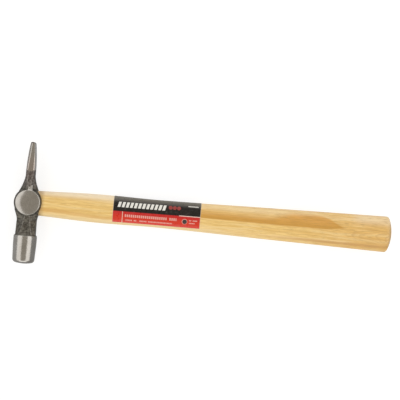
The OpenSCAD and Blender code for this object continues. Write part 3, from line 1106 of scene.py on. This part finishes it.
# ------------------------------------------------------------- room and camera
def add_floor():
    """A pale floor just under the hammer, which stays bright in every view."""
    half, z = 4, -0.0003
    corners = [(-half, -half, z), (half, -half, z), (half, half, z), (-half, half, z)]
    floor = new_object("floor", corners, [(0, 1, 2, 3)], smooth=False)
    g = Graph("pale_paper_floor")
    g.set(Base_Color=(0.33, 0.33, 0.33), Roughness=0.9)
    g.set(Emission_Color=(1.0, 1.0, 1.0), Emission_Strength=0.78)
    floor.data.materials.append(g.material)
    floor.visible_glossy = False


def add_softbox(name, azimuth, low, high, width, radiance):
    """A square-on panel that reaches from polar angle low to high, in degrees."""
    middle = math.radians((low + high) / 2)
    half = math.radians((high - low) / 2)
    turn = math.radians(azimuth)
    data = bpy.data.lights.new(name, "AREA")
    data.shape = "RECTANGLE"
    data.size = 2 * SOFTBOX_REACH * math.tan(half)
    data.size_y = width
    data.energy = radiance * math.pi * data.size * data.size_y
    light = bpy.data.objects.new(name, data)
    bpy.context.scene.collection.objects.link(light)
    light.location = (
        SOFTBOX_REACH * math.sin(middle) * math.cos(turn),
        SOFTBOX_REACH * math.sin(middle) * math.sin(turn),
        SOFTBOX_REACH * math.cos(middle) + MID_Z * MM,
    )
    light.rotation_euler = (0, middle, turn)
    light.visible_camera = False


def add_lights():
    add_softbox("softbox_left", 180, 23.5, 72, 2.4, 0.81)
    add_softbox("softbox_right", 0, 30.5, 72, 2.0, 1.0)
    add_softbox("softbox_above", 90, 50, 80, 1.4, 1.0)
    add_softbox("softbox_below", -90, 50, 80, 1.4, 1.25)


def colour_mix(nodes, a, b):
    """A node that goes from colour a to colour b; None is left to be linked."""
    node = nodes.new("ShaderNodeMix")
    node.data_type = "RGBA"
    for i, colour in ((6, a), (7, b)):
        if colour is not None:
            node.inputs[i].default_value = (*colour, 1)
    return node


def studio_grey(nodes, links):
    """Grey that is lighter at the left of the horizon, and warmer overhead."""
    place = nodes.new("ShaderNodeTexCoord")
    split = nodes.new("ShaderNodeSeparateXYZ")
    links.new(place.outputs["Generated"], split.inputs[0])
    across = nodes.new("ShaderNodeMapRange")
    across.inputs["From Min"].default_value = -0.8
    across.inputs["From Max"].default_value = 0.8
    links.new(split.outputs["X"], across.inputs[0])
    horizon = colour_mix(nodes, (0.48, 0.48, 0.475), (0.35, 0.35, 0.345))
    links.new(across.outputs[0], horizon.inputs[0])
    sky = colour_mix(nodes, None, (0.435, 0.40, 0.345))
    links.new(split.outputs["Z"], sky.inputs[0])
    links.new(horizon.outputs[2], sky.inputs[6])
    return sky.outputs[2]


def add_world():
    """The studio's grey lights the hammer, and the camera sees white."""
    world = bpy.data.worlds.new("studio")
    bpy.context.scene.world = world
    world.use_nodes = True
    nodes, links = world.node_tree.nodes, world.node_tree.links
    nodes.clear()
    lit = nodes.new("ShaderNodeBackground")
    links.new(studio_grey(nodes, links), lit.inputs[0])
    seen = nodes.new("ShaderNodeBackground")
    seen.inputs[0].default_value = (1, 1, 1, 1)
    path = nodes.new("ShaderNodeLightPath")
    mix = nodes.new("ShaderNodeMixShader")
    links.new(path.outputs["Is Camera Ray"], mix.inputs[0])
    links.new(lit.outputs[0], mix.inputs[1])
    links.new(seen.outputs[0], mix.inputs[2])
    output = nodes.new("ShaderNodeOutputWorld")
    links.new(mix.outputs[0], output.inputs[0])


def add_camera():
    """Square above the cheek, turned so that the handle runs down to the right."""
    data = bpy.data.cameras.new("camera")
    data.sensor_width = 36
    data.lens = 36 * CAMERA_HEIGHT / VIEW_WIDTH
    camera = bpy.data.objects.new("camera", data)
    bpy.context.scene.collection.objects.link(camera)
    middle = (head_low.x + handle_high.x) / 2
    dx, dy = CAMERA_OFFSET
    camera.location = (middle + dx, dy, MID_Z * MM + CAMERA_HEIGHT)
    camera.rotation_euler = (0, 0, CAMERA_TURN)
    bpy.context.scene.camera = camera


# -------------------------------------------------------------------- assembly
def finish_piece(piece, node, material):
    piece.data.materials.clear()
    piece.data.materials.append(material)
    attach(piece, ROOT)
    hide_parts(node)


def main():
    add_camera()
    add_floor()
    add_lights()
    add_world()

    head = make_head()
    finish_piece(head, "head", head_steel())

    handle = make_handle()
    cut_by_wedges(handle)
    handle.data.set_sharp_from_angle(angle=math.radians(38))
    finish_piece(handle, "handle", ash_wood())

    label = make_label()
    finish_piece(label, "label", label_print())

    for node, material in (("wooden_wedge", wedge_wood()), ("steel_wedge", wedge_steel())):
        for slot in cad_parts[node].material_slots:
            slot.material = material

    bpy.context.scene.view_settings.view_transform = "Standard"
    bpy.context.scene.cycles.use_denoising = True


main()
